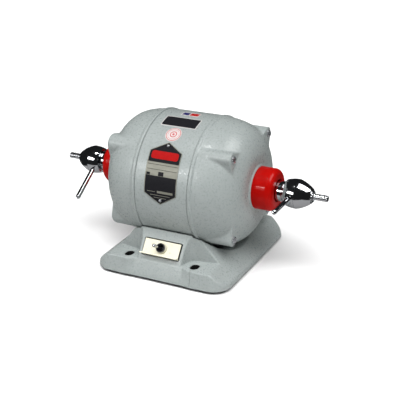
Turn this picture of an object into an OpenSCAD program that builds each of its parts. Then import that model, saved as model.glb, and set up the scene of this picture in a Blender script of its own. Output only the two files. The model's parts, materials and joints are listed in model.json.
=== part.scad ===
// Bench polishing lathe for a dental laboratory: a round double-ended motor in a cast cradle base,
// with a quick-release chuck on each end of its spindle.
// The origin is on the bench under the middle of the base. +X runs along the spindle, -Y is the
// front with the switch, and +Z is up. All sizes are in millimetres.

/* [Motor] */
// Height of the spindle axis above the bench
axis_h = 108; // [107:0.5:110]
// Outer radius of the motor frame
frame_r = 82.5; // [82:0.5:83]
// Half width of the motor frame between the end bells
seam_x = 36.2; // [36:0.1:37]
// Wall of the motor frame and of the end bells
wall = 4; // [3.5:0.5:5]
// Distance from the centre to the flat end face of a bell
bell_end_x = 93.8; // [93:0.2:95]

/* [Base] */
// Width of the base along the spindle
base_w = 186; // [184:1:190]
// Depth of the base from front to back
base_d = 201.5; // [200:0.5:206]
// Radius of the base's corners in plan
base_corner_r = 24; // [22:1:26]
// Height of the four mounting pads
pad_z = 26; // [25:0.5:27]
// Spacing of the mounting slots from left to right
slot_pitch_x = 93; // [90:1:96]
// Spacing of the mounting slots from front to back
slot_pitch_y = 168; // [166:1:170]

/* [Chucks] */
// Radius of the chuck shank behind the lever ring
shank_r = 12.8; // [12.5:0.1:13]
// Radius of the arbor that the chuck holds
arbor_r = 3.97; // [3.9:0.01:4]
// Distance from the centre to the tip of the arbor
tip_x = 185.6; // [182:0.2:190]
// Reach of a release lever from the spindle axis
lever_reach = 65.7; // [60:0.1:70]
// Angle of the left lever below the horizontal
left_lever_drop = 32.8; // [0:0.1:90]

/* [Switch] */
// Width of the switch plate
plate_w = 50; // [48:1:52]
// Height of the switch plate along its slope
plate_h = 19; // [18:0.5:20]
// Lean of the toggle lever to its first position
toggle_lean = 18; // [10:1:20]

/* [Hidden] */
$fn = 96;
far = 300;

// Colours
enamel = [0.66, 0.71, 0.68];
cap_red = [0.78, 0.05, 0.06];
chrome_grey = [0.78, 0.79, 0.81];
steel_grey = [0.55, 0.56, 0.58];
copper = [0.72, 0.42, 0.22];
rubber_black = [0.08, 0.08, 0.09];
nickel = [0.86, 0.83, 0.74];
alloy = [0.75, 0.76, 0.78];

// Base: the flanks are one hollow arc, and the walls lean in by the casting draft
foot_h = 4;
base_wall = 5;
draft = 0.16;
flank_arc_r = 150;
flank_arc_c = [base_w / 2 + 79.4, 136.9];
corner_c = [base_w / 2 - base_corner_r, base_d / 2 - base_corner_r];
slot_x = slot_pitch_x / 2;
slot_y = slot_pitch_y / 2;
slot_r = 5.2;
slot_len = 14.4;
pad_r = 14;
apron_y = base_d / 2 - 0.2;

// The switch panel in side view, as [y, z] points
panel_foot = [-89.9, 30.2];
panel_top = [-67.4, 60.6];
panel_slope = atan2(panel_top.y - panel_foot.y, panel_top.x - panel_foot.x);
saddle_edge_z = panel_top.y;

// The pockets over the pads: the lean of their walls, and the turns of the back and side walls
pocket_draft = 0.14;
pocket_back_turn = 10.7;
pocket_side_turn = -14;

// Feet, cover and gland
foot_x = 74.8;
foot_y = 84;
foot_r = 9;
foot_screw_r = 2;
cover_t = 1.6;
cover_z = foot_h + 0.6;
cover_inset = 2.6;
cover_gap = 0.2;
cover_screw_x = 58;
cover_screw_y = 60;
cover_screw_r = 1.5;
gland_z = 17;
gland_r = 6.2;
gland_boss_r = 11;
gland_flange_r = 8.8;
gland_y = base_d / 2 - 5.2;
capacitor_r = 14;
capacitor_len = 62;
capacitor_y = 56;
capacitor_z = cover_z + cover_t + capacitor_r + 1.1;

// Switch: the centre of its plate on the panel, and what stands out of the panel
switch_c = [0, panel_foot.x + 10 / tan(panel_slope), panel_foot.y + 10];
plate_t = 1.2;
plate_gap = 1.3;
plate_proud = 1;
lip_out = 6;
bushing_r = 5.9;
switch_depth = 20;
switch_room = 12;
toggle_len = 17;

// Motor
cradle_bolt_x = 20;
core_half = 28;
bore_r = 42.35;
rotor_r = 42;
rotor_bore_r = 11;
slot_count = 24;
slot_back_r = 58;
winding_room_r = slot_back_r + 2.5;
winding_room_x = core_half + 21;
bolt_ring_r = 74.2;
bolt_r = 2.4;
bolt_head_r = 4.85;
lug_face_x = 84.4;
lug_tip_r = 8.3;
lug_flank = 28.3;
lug_root_r = 61.3;
lug_bite = 0.15;

// The left bell's lugs: fuller, rounded at the outer end, and blind
blind_ring_r = 68.2;
blind_tip_r = 12.7;
blind_root_r = 54;
blind_end_x = 87;
blind_round_c = [76, 82];
blind_round_r = 6;
thread_end_x = 79;
rim_r = frame_r + 1.1;
rim_w = 5;
bell_wall = 5;

// Half section of a bell, as [radius, distance] points: the two arcs are tangent in this direction
bell_side_arc = 100;
bell_corner_arc = 41;
bell_turn = [0.96, 0.28];
bell_corner_c = [frame_r - 0.5 - bell_side_arc + (bell_side_arc - bell_corner_arc) * bell_turn.x,
    bell_end_x - bell_corner_arc];
bell_side_c = bell_corner_c - (bell_side_arc - bell_corner_arc) * bell_turn;

// Hub and cap
hub_ring_r = 28.3;
hub_end_x = bell_end_x + 1.8;
cap_r = 26.9;
cap_end_x = 121;
cap_seat_r = 23.8;
cap_shoulder = 8;
cap_mouth_r = 14.4;

// Bearings, a 17 x 40 x 12 deep-groove size
bearing_x = 77;
bearing_w = 12;
bearing_ro = 20;
bearing_ri = 8.5;
ball_r = 3.37;
ball_gap = 0.08;
ball_pitch_r = 14.3;
ball_count = 8;
ring_groove_x = bearing_x + bearing_w + 0.1;
seal_x = 91.5;
seal_r = 16;

// Chuck: stations along the spindle, measured from the middle of the motor
shaft_end_x = 128;
shaft_end_r = 6.35;
shank_x = 100;
groove_x = 129.6;
ring_x = 132.3;
ring_end_x = 147;
nose_x = 147.3;
nose_end_x = 167;
body_end_x = 152;
nose_shoulder_x = body_end_x + 3;
sleeve_r = 12.2;
collet_x = 133;
collet_r = 5.3;
collet_tip_r = 5.9;
collet_cone_x = 155.5;
arbor_x = 141;
arbor_shank_r = arbor_r - 0.4;
nose_tip_r = 7.4;
nose_arc_r = 45;
nose_arc_c = [-25, 136];
ring_bore_r = 15.05;
ring_arc_r = 40;
ring_arc_c = [-21.5, 146];
rod_x = 141.6;
rod_r = 3.175;
right_lever_drop = 0;

// Nameplate: angles above the horizontal at the front of the frame
plate_angle_low = -5.8;
plate_angle_high = 49.6;
shoulder_low = 3.4;
shoulder_high = 40.7;
plate_mid = (plate_angle_low + plate_angle_high) / 2;
nameplate_half = 22;
nameplate_t = 0.5;
rivet_angles = [-2, 46];

// ---- Helpers ----

// Turns a shape that is drawn upwards so that it runs along +X from the spindle axis
module along_spindle(x = 0) translate([x, 0, axis_h]) rotate([0, 90, 0]) children();

// Revolves an outline of [radius, distance along the spindle] points round the spindle axis
module turned(points) along_spindle() rotate_extrude() polygon(points);

// Places a right-hand part, or its mirror image on the left
module on_side(side) {
    if (side > 0) children();
    else mirror([1, 0, 0]) children();
}

// Repeats a part at the four corners of a rectangle about the Z axis
module at_corners(x, y) for (sx = [-1, 1], sy = [-1, 1]) translate([sx * x, sy * y, 0]) children();

// Repeats a part at the four lugs of a bell, with +X outwards and +Z along the spindle
module at_lugs() along_spindle() for (a = [45:90:315]) rotate([0, 0, a]) children();

// ---- Base ----

// Outline of the flanks, seen from the front, up to a given height
module flank_outline(top, inset = 0) difference() {
    translate([-base_w / 2 + inset, 0]) square([base_w - 2 * inset, top]);
    for (s = [-1, 1]) translate([s * flank_arc_c.x, flank_arc_c.y]) circle(flank_arc_r + inset);
}

// The footprint with leaning walls: two prisms and four cones
module plan_block(inset, z0, z1) {
    r0 = base_corner_r - inset - draft * (z0 - foot_h);
    r1 = base_corner_r - inset - draft * (z1 - foot_h);
    at_corners(corner_c.x, corner_c.y) translate([0, 0, z0]) cylinder(h = z1 - z0, r1 = r0, r2 = r1);
    rotate([90, 0, 90]) linear_extrude(2 * corner_c.x, center = true) polygon([
        [-corner_c.y - r0, z0], [corner_c.y + r0, z0], [corner_c.y + r1, z1], [-corner_c.y - r1, z1]]);
    rotate([90, 0, 0]) linear_extrude(2 * corner_c.y, center = true) polygon([
        [-corner_c.x - r0, z0], [corner_c.x + r0, z0], [corner_c.x + r1, z1], [-corner_c.x - r1, z1]]);
}

// The flared body of the base: pad height all over, and up to the saddle between the sloping panels
module base_body(inset, z0) intersection() {
    plan_block(inset, z0, saddle_edge_z);
    union() {
        rotate([90, 0, 0]) linear_extrude(base_d, center = true) flank_outline(pad_z - inset, inset);
        intersection() {
            rotate([90, 0, 0]) linear_extrude(base_d, center = true)
                flank_outline(saddle_edge_z - inset, inset);
            rotate([90, 0, 90]) linear_extrude(base_w, center = true)
                panel_outline(inset / sin(panel_slope));
        }
    }
}

// Side view of the two sloping panels, moved in by a shift
module panel_outline(shift) polygon([
    [-apron_y + shift, foot_h], panel_foot + [shift, 0], panel_top + [shift, 0],
    [-panel_top.x - shift, panel_top.y], [-panel_foot.x - shift, panel_foot.y], [apron_y - shift, foot_h]]);

// The pocket over each mounting pad: a leaning round corner behind the slot, a back wall that runs
// out to the flank, and a side wall beside the panel
module pad_pockets(grow = 0) {
    rise = saddle_edge_z - pad_z + grow + 1;
    r0 = pad_r + grow;
    r1 = r0 + pocket_draft * rise;
    for (sx = [-1, 1], sy = [-1, 1]) scale_signs(sx, sy)
        translate([slot_x, -slot_y, pad_z - grow]) {
            rotate([0, 0, 90 + pocket_back_turn])
                rotate_extrude(angle = 90 + pocket_side_turn - pocket_back_turn)
                    polygon([[0, 0], [r0, 0], [r1, rise], [0, rise]]);
            rotate([0, 0, pocket_back_turn]) rotate([90, 0, 90]) linear_extrude(far)
                polygon([[-far, 0], [r0, 0], [r1, rise], [-far, rise]]);
            rotate([0, 0, pocket_side_turn]) rotate([90, 0, 0]) linear_extrude(far)
                polygon([[-r0, 0], [far, 0], [far, rise], [-r1, rise]]);
        }
}

// Mirrors a front right-hand part into one of the four corners
module scale_signs(sx, sy) mirror([sx < 0 ? 1 : 0, 0, 0]) mirror([0, sy < 0 ? 1 : 0, 0]) children();

// What the sloping apron between the two front pads takes away
module apron_cut(inset = 0) rotate([90, 0, 90]) linear_extrude(2 * slot_x, center = true) polygon([
    [-base_d, foot_h], [-apron_y + inset, foot_h], panel_foot + [inset, 0], [-base_d, panel_foot.y]]);

// A round-ended boss under each mounting slot
module pad_bosses() intersection() {
    plan_block(0, foot_h, pad_z);
    at_corners(slot_x, slot_y) cylinder(h = pad_z, r1 = pad_r + draft * pad_z, r2 = pad_r);
}

// Both ends of the base are alike, apart from the opening for the switch
module front_and_back() for (a = [0, 180]) rotate([0, 0, a]) children();

// A slot that runs from front to back
module slot_hole(r, length) linear_extrude(far) {
    for (s = [-1, 1]) translate([0, s * (length / 2 - r)]) circle(r);
    square([2 * r, length - 2 * r], center = true);
}

// Places a part on the switch panel, with +Z out of the panel and +Y up its slope
module on_panel() translate(switch_c) rotate([panel_slope, 0, 0]) children();

// The room inside the casting
module base_cavity() difference() {
    base_body(base_wall, 0);
    front_and_back() apron_cut(base_wall);
    pad_pockets(base_wall);
    along_spindle(-far / 2) cylinder(h = far, r = frame_r + base_wall);
    at_corners(slot_x, slot_y) cylinder(h = far, r = slot_len / 2 + 4);
    at_corners(foot_x, foot_y) cylinder(h = far, r = 5);
    at_corners(cover_screw_x, cover_screw_y) cylinder(h = far, r = 4.5);
    translate([0, gland_y, gland_z]) rotate([90, 0, 0]) cylinder(h = 10, r = gland_boss_r);
}

module base_casting() color(enamel) difference() {
    union() {
        difference() {
            base_body(0, foot_h);
            front_and_back() apron_cut();
        }
        pad_bosses();
        translate([0, gland_y, gland_z]) rotate([90, 0, 0]) cylinder(h = 10, r = gland_boss_r);
    }
    pad_pockets();
    // Saddle for the motor frame, with room for the rims of the bells beside it
    along_spindle(-seam_x) cylinder(h = 2 * seam_x, r = frame_r);
    for (s = [-1, 1]) on_side(s) along_spindle(seam_x) cylinder(h = far, r = rim_r + 0.7);
    base_cavity();
    plan_block(cover_inset - cover_gap, 0, cover_z + cover_t);
    at_corners(slot_x, slot_y) slot_hole(slot_r, slot_len);
    at_corners(foot_x, foot_y) cylinder(h = 14, r = foot_screw_r);
    at_corners(cover_screw_x, cover_screw_y) cylinder(h = 14, r = cover_screw_r);
    for (s = [-1, 1]) translate([s * cradle_bolt_x, 0, 0]) cylinder(h = axis_h, r = 4.1);
    on_panel() cube([plate_w + 2 * plate_gap, plate_h + 2 * plate_gap, 4 * base_wall], center = true);
    // Hole for the gland, with a flat seat sunk into the leaning wall
    translate([0, gland_y, gland_z]) rotate([90, 0, 0]) {
        cylinder(h = 4 * base_wall, r = gland_r, center = true);
        translate([0, 0, -far]) cylinder(h = far, r = gland_flange_r + 0.4);
    }
}

module bottom_cover() color(steel_grey) difference() {
    plan_block(cover_inset, cover_z, cover_z + cover_t);
    at_corners(slot_x, slot_y) cylinder(h = far, r = slot_len / 2 + 4.5);
    at_corners(foot_x, foot_y) cylinder(h = far, r = foot_screw_r + 0.3);
    at_corners(cover_screw_x, cover_screw_y) cylinder(h = far, r = cover_screw_r + 0.3);
}

module cover_screws() color(steel_grey) at_corners(cover_screw_x, cover_screw_y) {
    translate([0, 0, cover_z - 1.2]) cylinder(h = 1.2, r = 3);
    translate([0, 0, cover_z - 0.5]) cylinder(h = 9, r = cover_screw_r - 0.05);
}

// Rubber feet, each with a counterbore for its screw
module rubber_feet() color(rubber_black) at_corners(foot_x, foot_y) rotate_extrude() polygon([
    [foot_screw_r + 0.1, cover_z], [foot_r, cover_z], [foot_r, 1], [foot_r - 1, 0], [4.4, 0],
    [4.4, 2.2], [foot_screw_r + 0.1, 2.2]]);

module foot_screws() color(steel_grey) at_corners(foot_x, foot_y) {
    translate([0, 0, 0.8]) cylinder(h = 1.4, r = 3.6);
    translate([0, 0, 1.5]) cylinder(h = 11, r = foot_screw_r - 0.05);
}

// Two bolts come up through the saddle into the motor frame
module cradle_bolts() color(steel_grey) for (s = [-1, 1]) {
    under = axis_h - frame_r - base_wall;
    translate([s * cradle_bolt_x, 0, under - 5.3]) cylinder(h = 5.3, r = 7.2, $fn = 6);
    translate([s * cradle_bolt_x, 0, under - 1]) cylinder(h = base_wall + wall + 0.5, r = 3.95);
}

// ---- Switch ----

// A folded plate: its lower edge turns out into a lip
module switch_plate() color(nickel) on_panel() difference() {
    union() {
        translate([-plate_w / 2, -plate_h / 2, -plate_t + plate_proud])
            cube([plate_w, plate_h, plate_t]);
        translate([-plate_w / 2 - 1, -plate_h / 2 - plate_t, -plate_t + plate_proud])
            cube([plate_w + 2, plate_t, lip_out + plate_t]);
    }
    cylinder(h = far, r = bushing_r + 0.05, center = true);
}

module switch_body() color(rubber_black) on_panel() difference() {
    union() {
        translate([-14.5, -7.5, -switch_depth]) cube([29, 15, switch_depth - plate_t + plate_proud]);
        translate([0, 0, -plate_t]) cylinder(h = plate_t + plate_proud + 4.4, r = bushing_r);
        for (x = [-9, 0, 9]) translate([x, 0, -switch_depth - 4]) cylinder(h = 5, r = 1.2);
    }
    // The throat widens both ways so that the lever can swing
    translate([0, 0, -switch_room]) cylinder(h = switch_room + 0.2, r = 3.6);
    cylinder(h = 20, r1 = 3.4, r2 = 3.4 + 20 * tan(toggle_lean));
    sphere(4);
}

// The round nut that holds the switch in its plate
module switch_nut() color(chrome_grey) on_panel() difference() {
    union() {
        translate([0, 0, plate_proud]) cylinder(h = 1.6, r = 7);
        translate([0, 0, plate_proud + 1.6]) cylinder(h = 0.8, r1 = 7, r2 = 6.4);
    }
    cylinder(h = far, r = bushing_r + 0.05, center = true);
}

// Bat-shaped lever with a flat tip, standing in its first position
module switch_lever() color(chrome_grey) on_panel() rotate([0, -toggle_lean, 0]) {
    sphere(2.6);
    cylinder(h = toggle_len - 2.4, r1 = 1.5, r2 = 2.4);
    translate([0, 0, toggle_len - 2.4]) sphere(2.4);
}

module cord_gland() color(rubber_black) translate([0, gland_y, gland_z]) rotate([-90, 0, 0])
    difference() {
        union() {
            cylinder(h = 2.2, r = gland_flange_r);
            translate([0, 0, -12]) cylinder(h = 13, r = gland_r - 0.05);
            translate([0, 0, -12]) cylinder(h = 1.9, r = gland_r + 2);
            translate([0, 0, 2.1]) cylinder(h = 3, r1 = gland_r, r2 = gland_r - 1.4);
        }
        cylinder(h = far, r = 3.6, center = true);
    }

// A run capacitor lies on the cover, held in a band with two tabs
module run_capacitor() color(alloy) translate([0, capacitor_y, capacitor_z]) rotate([0, 90, 0]) {
    cylinder(h = capacitor_len, r = capacitor_r, center = true);
    for (y = [-6, 6]) translate([-0.8, y - 3, capacitor_len / 2]) cube([1.6, 6, 7]);
}

module capacitor_clip() color(steel_grey) translate([0, capacitor_y, 0]) {
    translate([0, 0, capacitor_z]) rotate([0, 90, 0]) difference() {
        cylinder(h = 14, r = capacitor_r + 1.1, center = true);
        cylinder(h = 15, r = capacitor_r + 0.05, center = true);
    }
    for (s = [-1, 1]) translate([-7, s * 17 - 6, cover_z + cover_t]) cube([14, 12, 1.1]);
}

// ---- Motor housing ----

// Outline of a flat ring whose four corners are rounded in short steps
module soft_ring_outline(r0, r1, x0, x1, e) polygon([
    for (c = [[r1 - e, x1 - e, 0], [r0 + e, x1 - e, 90], [r0 + e, x0 + e, 180], [r1 - e, x0 + e, 270]],
        a = [0:30:90]) [c.x, c.y] + e * [cos(c.z + a), sin(c.z + a)]]);

// The rolled frame, with a small chamfer at each seam and two threaded holes underneath
module motor_shell() color(enamel) difference() {
    turned([[frame_r - wall, -seam_x], [frame_r - 0.7, -seam_x], [frame_r, -seam_x + 0.7],
        [frame_r, seam_x - 0.7], [frame_r - 0.7, seam_x], [frame_r - wall, seam_x]]);
    for (s = [-1, 1]) translate([s * cradle_bolt_x, 0, 0]) cylinder(h = axis_h / 2, r = 4);
}

// Section of a lug, with +X outwards: a round tip on flanks that spread towards the bell. The
// flanks run just inside the tip's circle, so that they cross it.
module lug_outline(tip_x, tip_r, root_x) {
    flank_end = [tip_x, 0] + (tip_r - lug_bite) * [sin(lug_flank), cos(lug_flank)];
    root_half = flank_end.y + (flank_end.x - root_x) * tan(lug_flank);
    translate([tip_x, 0]) circle(tip_r);
    polygon([[root_x, -root_half], [flank_end.x, -flank_end.y], flank_end, [root_x, root_half]]);
}

// The lugs of the right bell, faced for the bolt heads
module faced_lugs() at_lugs() translate([0, 0, seam_x]) linear_extrude(lug_face_x - seam_x)
    lug_outline(bolt_ring_r, lug_tip_r, lug_root_r);

// The lugs of the left bell
module blind_lugs() intersection() {
    at_lugs() translate([0, 0, seam_x]) linear_extrude(blind_end_x - seam_x)
        lug_outline(blind_ring_r, blind_tip_r, blind_root_r);
    along_spindle() rotate_extrude() {
        square([blind_round_c.x, far]);
        square([far, blind_round_c.y]);
        translate(blind_round_c) circle(blind_round_r);
    }
}

// Half section of a bell: a long side arc that runs smoothly into a tighter corner arc and then into
// the flat end. The three parts meet face to face.
module bell_outline(inset = 0) {
    join_x = bell_corner_c.y + (bell_corner_arc - inset) * bell_turn.y;
    intersection() {
        translate(bell_side_c) circle(bell_side_arc - inset);
        translate([0, seam_x]) square([far, join_x - seam_x]);
    }
    intersection() {
        translate(bell_corner_c) circle(bell_corner_arc - inset);
        translate([bell_corner_c.x, join_x]) square(far);
    }
    translate([0, join_x]) square([bell_corner_c.x, bell_end_x - inset - join_x]);
}

// A right-hand end bell, with either kind of lug as its child, and bolt holes up to a depth
module end_bell(hole_end_x) color(enamel) difference() {
    union() {
        along_spindle() rotate_extrude() {
            bell_outline();
            soft_ring_outline(frame_r - 3, rim_r, seam_x, seam_x + rim_w, 0.9);
            soft_ring_outline(cap_seat_r - 4, hub_ring_r, bell_end_x - 2, hub_end_x, 0.8);
        }
        children();
        turned([[seal_r, hub_end_x - 1], [cap_seat_r, hub_end_x - 1], [cap_seat_r, hub_end_x + 4],
            [seal_r, hub_end_x + 4]]);
        // Spigot that centres the bell in the frame
        turned([[frame_r - wall - 2, seam_x - 3], [frame_r - wall - 0.05, seam_x - 3],
            [frame_r - wall - 0.05, seam_x + 1], [frame_r - wall - 2, seam_x + 1]]);
    }
    difference() {
        along_spindle() rotate_extrude() difference() {
            bell_outline(bell_wall);
            // Bearing housing and the boss behind it
            translate([0, bearing_x - 1]) square([bearing_ro + 6.5, far]);
            translate([frame_r - wall - 2, seam_x - 1]) square([2, 2]);
        }
        children();
        // Four ribs tie the bearing housing to the dome
        along_spindle() for (a = [0:90:270]) rotate([0, 0, a])
            translate([bearing_ro, -2.5, bearing_x - 1]) cube([50, 5, 30]);
    }
    turned([[0, 0], [bearing_ro + 0.02, 0], [bearing_ro + 0.02, bearing_x + bearing_w],
        [12, bearing_x + bearing_w], [12, seal_x], [seal_r, seal_x], [seal_r, far], [0, far]]);
    // Room for the winding between the lugs
    turned([[0, 0], [winding_room_r, 0], [winding_room_r, winding_room_x], [0, winding_room_x]]);
    at_lugs() translate([bolt_ring_r, 0, 0]) cylinder(h = hole_end_x, r = bolt_r + 0.2);
}

module end_bell_left() on_side(-1) end_bell(thread_end_x + 2) blind_lugs();
module end_bell_right() on_side(1) end_bell(far) faced_lugs();

// Four bolts run through the motor into the left bell's lugs, with slotted heads on the right
module tie_bolts() color(steel_grey) at_lugs() difference() {
    translate([bolt_ring_r, 0, 0]) {
        translate([0, 0, -thread_end_x]) cylinder(h = thread_end_x + lug_face_x, r = bolt_r);
        translate([0, 0, lug_face_x]) cylinder(h = 1.4, r = bolt_head_r);
        translate([0, 0, lug_face_x + 1.4]) cylinder(h = 1.1, r1 = bolt_head_r, r2 = bolt_head_r - 1.4);
    }
    translate([bolt_ring_r - 6, -0.6, lug_face_x + 1.5]) cube([12, 1.2, 3]);
}

// A red cap over each bearing: straight sides, a round shoulder and an open mouth
module bearing_cap() color(cap_red) along_spindle() rotate_extrude() difference() {
    cap_outline(0);
    translate([0, hub_end_x - 1]) square([cap_seat_r + 0.05, 5]);
    cap_outline(3);
    square([cap_mouth_r, far]);
}

// Half section of the cap, shrunk by a wall
module cap_outline(inset) {
    e = cap_shoulder - inset;
    translate([0, hub_end_x]) square([cap_r - inset, cap_end_x - cap_shoulder - hub_end_x]);
    translate([0, hub_end_x]) square([cap_r - cap_shoulder, cap_end_x - inset - hub_end_x]);
    translate([cap_r - cap_shoulder, cap_end_x - cap_shoulder]) circle(e);
}

module bearing_cap_left() on_side(-1) bearing_cap();
module bearing_cap_right() on_side(1) bearing_cap();

// Felt ring that keeps pumice out of the bearing
module shaft_seal() color([0.85, 0.83, 0.75]) turned([[bearing_ri + 0.1, seal_x], [seal_r - 0.05, seal_x],
    [seal_r - 0.05, seal_x + 5], [bearing_ri + 0.1, seal_x + 5]]);

module shaft_seal_left() on_side(-1) shaft_seal();
module shaft_seal_right() on_side(1) shaft_seal();

// ---- Stator ----

// One winding slot, narrow at the air gap and wider towards the back of the core
module slot_outline(gap) polygon([[bore_r - 1, -1.2 + gap], [bore_r + 1.6, -1.2 + gap],
    [bore_r + 3, -2.9 + gap], [slot_back_r - gap, -4.6 + gap], [slot_back_r - gap, 4.6 - gap],
    [bore_r + 3, 2.9 - gap], [bore_r + 1.6, 1.2 - gap], [bore_r - 1, 1.2 - gap]]);

module in_slots() for (i = [0:slot_count - 1]) rotate([0, 0, (i + 0.5) * 360 / slot_count])
    children();

module stator_core() color(steel_grey) along_spindle(-core_half) linear_extrude(2 * core_half)
    difference() {
        circle(frame_r - wall - 0.05);
        circle(bore_r);
        in_slots() slot_outline(0);
        // Clearance for the bolts
        for (a = [45:90:315]) rotate([0, 0, a]) {
            translate([bolt_ring_r, 0]) circle(bolt_r + 1.2);
            translate([bolt_ring_r, -bolt_r - 1.2]) square([20, 2 * bolt_r + 2.4]);
        }
    }

// Copper in the slots, with a rounded bundle of end turns on each side
module stator_winding() color(copper) {
    along_spindle(-core_half - 2) linear_extrude(2 * core_half + 4) in_slots() intersection() {
        slot_outline(0.25);
        translate([bore_r + 2.2, -6]) square(20);
    }
    for (s = [-1, 1]) on_side(s) along_spindle() rotate_extrude()
        soft_ring_outline(bore_r + 3, slot_back_r + 1, core_half + 1, core_half + 19, 6);
}

// ---- Spindle ----

// One piece of ground steel, stepped for the rotor, the bearings and the chucks
module spindle_shaft() color(steel_grey) {
    half = [[rotor_bore_r, 0], [rotor_bore_r, core_half + 4], [rotor_bore_r - 0.5, core_half + 4],
        [rotor_bore_r - 0.5, bearing_x], [bearing_ri, bearing_x], [bearing_ri, ring_groove_x],
        [bearing_ri - 0.5, ring_groove_x], [bearing_ri - 0.5, ring_groove_x + 1.1],
        [bearing_ri, ring_groove_x + 1.1], [bearing_ri, shank_x - 2], [shaft_end_r, shank_x - 1],
        [shaft_end_r, shaft_end_x - 1], [shaft_end_r - 1, shaft_end_x], [0, shaft_end_x], [0, 0]];
    for (s = [-1, 1]) on_side(s) turned(half);
}

module rotor_core() color(steel_grey) turned([[rotor_bore_r + 0.01, -core_half], [rotor_r, -core_half],
    [rotor_r, core_half], [rotor_bore_r + 0.01, core_half]]);

// Cast end ring with fan blades
module rotor_fan() color(alloy) along_spindle(core_half) {
    difference() {
        cylinder(h = 7, r = rotor_r - 0.5);
        translate([0, 0, -1]) cylinder(h = 9, r = rotor_r - 13);
    }
    for (i = [0:9]) rotate([0, 0, 36 * i]) translate([rotor_r - 11, -1.2, 6]) cube([10, 2.4, 9]);
}

module rotor_fan_left() on_side(-1) rotor_fan();
module rotor_fan_right() on_side(1) rotor_fan();

// Outline of a bearing race: a flat ring with a groove for the balls
module race_outline(r0, r1) difference() {
    translate([r0, bearing_x]) square([r1 - r0, bearing_w]);
    translate([ball_pitch_r, bearing_x + bearing_w / 2]) circle(ball_r + ball_gap);
}

module bearing_outer() color(chrome_grey) along_spindle() rotate_extrude()
    race_outline(bearing_ro - 3.6, bearing_ro);
module bearing_inner() color(chrome_grey) along_spindle() rotate_extrude()
    race_outline(bearing_ri + 0.01, bearing_ri + 3.5);

// Repeats a part once per ball, round the middle plane of the bearing
module at_balls() along_spindle(bearing_x + bearing_w / 2) for (i = [0:ball_count - 1])
    rotate([0, 0, i * 360 / ball_count]) translate([ball_pitch_r, 0, 0]) children();

module bearing_balls() color(steel_grey) at_balls() sphere(ball_r);

// Ribbon cage with a pocket for each ball
module bearing_cage() color([0.72, 0.6, 0.3]) difference() {
    turned([[ball_pitch_r - 0.8, bearing_x + 2], [ball_pitch_r + 0.8, bearing_x + 2],
        [ball_pitch_r + 0.8, bearing_x + bearing_w - 2], [ball_pitch_r - 0.8, bearing_x + bearing_w - 2]]);
    at_balls() rotate([0, 90, 0]) cylinder(h = 5, r = ball_r + 0.1, center = true);
}

module bearing_outer_left() on_side(-1) bearing_outer();
module bearing_outer_right() on_side(1) bearing_outer();
module bearing_inner_left() on_side(-1) bearing_inner();
module bearing_inner_right() on_side(1) bearing_inner();
module bearing_balls_left() on_side(-1) bearing_balls();
module bearing_balls_right() on_side(1) bearing_balls();
module bearing_cage_left() on_side(-1) bearing_cage();
module bearing_cage_right() on_side(1) bearing_cage();

// Clips that hold the inner races on the shaft, in a groove on the outer side of each
module retaining_rings() color(steel_grey) for (s = [-1, 1]) on_side(s)
    along_spindle(ring_groove_x + 0.05) difference() {
        cylinder(h = 1, r = bearing_ri + 2.2);
        translate([0, 0, -1]) cylinder(h = 3, r = bearing_ri - 0.45);
        translate([0, -2, -1]) cube([20, 4, 3]);
    }

// ---- Chucks ----

// Shank that carries the chuck on the shaft's end, with a groove ahead of the lever ring
module chuck_body() color(chrome_grey) turned([
    [shaft_end_r + 0.02, shank_x], [shank_r - 0.8, shank_x], [shank_r, shank_x + 0.8],
    [shank_r, groove_x - 0.6], [shank_r - 0.6, groove_x], [sleeve_r - 0.8, groove_x],
    [sleeve_r - 0.8, groove_x + 1.8], [sleeve_r, groove_x + 1.8], [sleeve_r, body_end_x - 0.6],
    [sleeve_r - 0.6, body_end_x], [collet_r + 0.05, body_end_x], [collet_r + 0.05, collet_x],
    [0, collet_x], [0, shaft_end_x + 0.3], [shaft_end_r + 0.02, shaft_end_x + 0.3]]);

// Spring collet in three fingers, with a cone behind its mouth
module chuck_collet() color(steel_grey) difference() {
    turned([[0, collet_x + 0.1], [collet_r, collet_x + 0.1], [collet_r, collet_cone_x],
        [collet_tip_r, nose_end_x - 0.6], [0, nose_end_x - 0.6]]);
    along_spindle(arbor_x) cylinder(h = far, r = arbor_shank_r + 0.02);
    along_spindle(arbor_x) for (a = [90:120:330]) rotate([0, 0, a]) translate([2, -0.5, 3])
        cube([10, 1, far]);
}

// Bullet-shaped nose: it slides back to free the collet
module chuck_nose() color(chrome_grey) along_spindle() rotate_extrude() difference() {
    intersection() {
        translate(nose_arc_c) circle(nose_arc_r);
        translate([0, nose_x]) square([far, nose_end_x - nose_x]);
    }
    polygon([[0, nose_x - 1], [sleeve_r + 0.1, nose_x - 1], [sleeve_r + 0.1, nose_shoulder_x],
        [collet_r + 0.06, nose_shoulder_x], [collet_r + 0.06, collet_cone_x],
        [collet_tip_r + 0.08, nose_end_x + 0.1], [0, nose_end_x + 0.1]]);
    translate([nose_tip_r, nose_end_x - 1.5]) square(20);
}

// The stub that wheels, cones and brushes are mounted on
module arbor() color(steel_grey) turned([[0, arbor_x + 0.1], [arbor_shank_r, arbor_x + 0.1],
    [arbor_shank_r, nose_end_x - 0.4], [arbor_r, nose_end_x - 0.4], [arbor_r, tip_x - 0.8],
    [arbor_r - 0.8, tip_x], [0, tip_x]]);

// Bush that the lever ring turns on; it slides back with the ring and stays still with it
module release_bush() color(steel_grey) turned([[sleeve_r + 0.05, ring_x + 1.2],
    [ring_bore_r - 0.05, ring_x + 1.2], [ring_bore_r - 0.05, ring_end_x - 1.3],
    [ring_bore_r + 1.2, ring_end_x - 1.3], [ring_bore_r + 1.2, ring_end_x],
    [sleeve_r + 0.05, ring_end_x]]);

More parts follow.
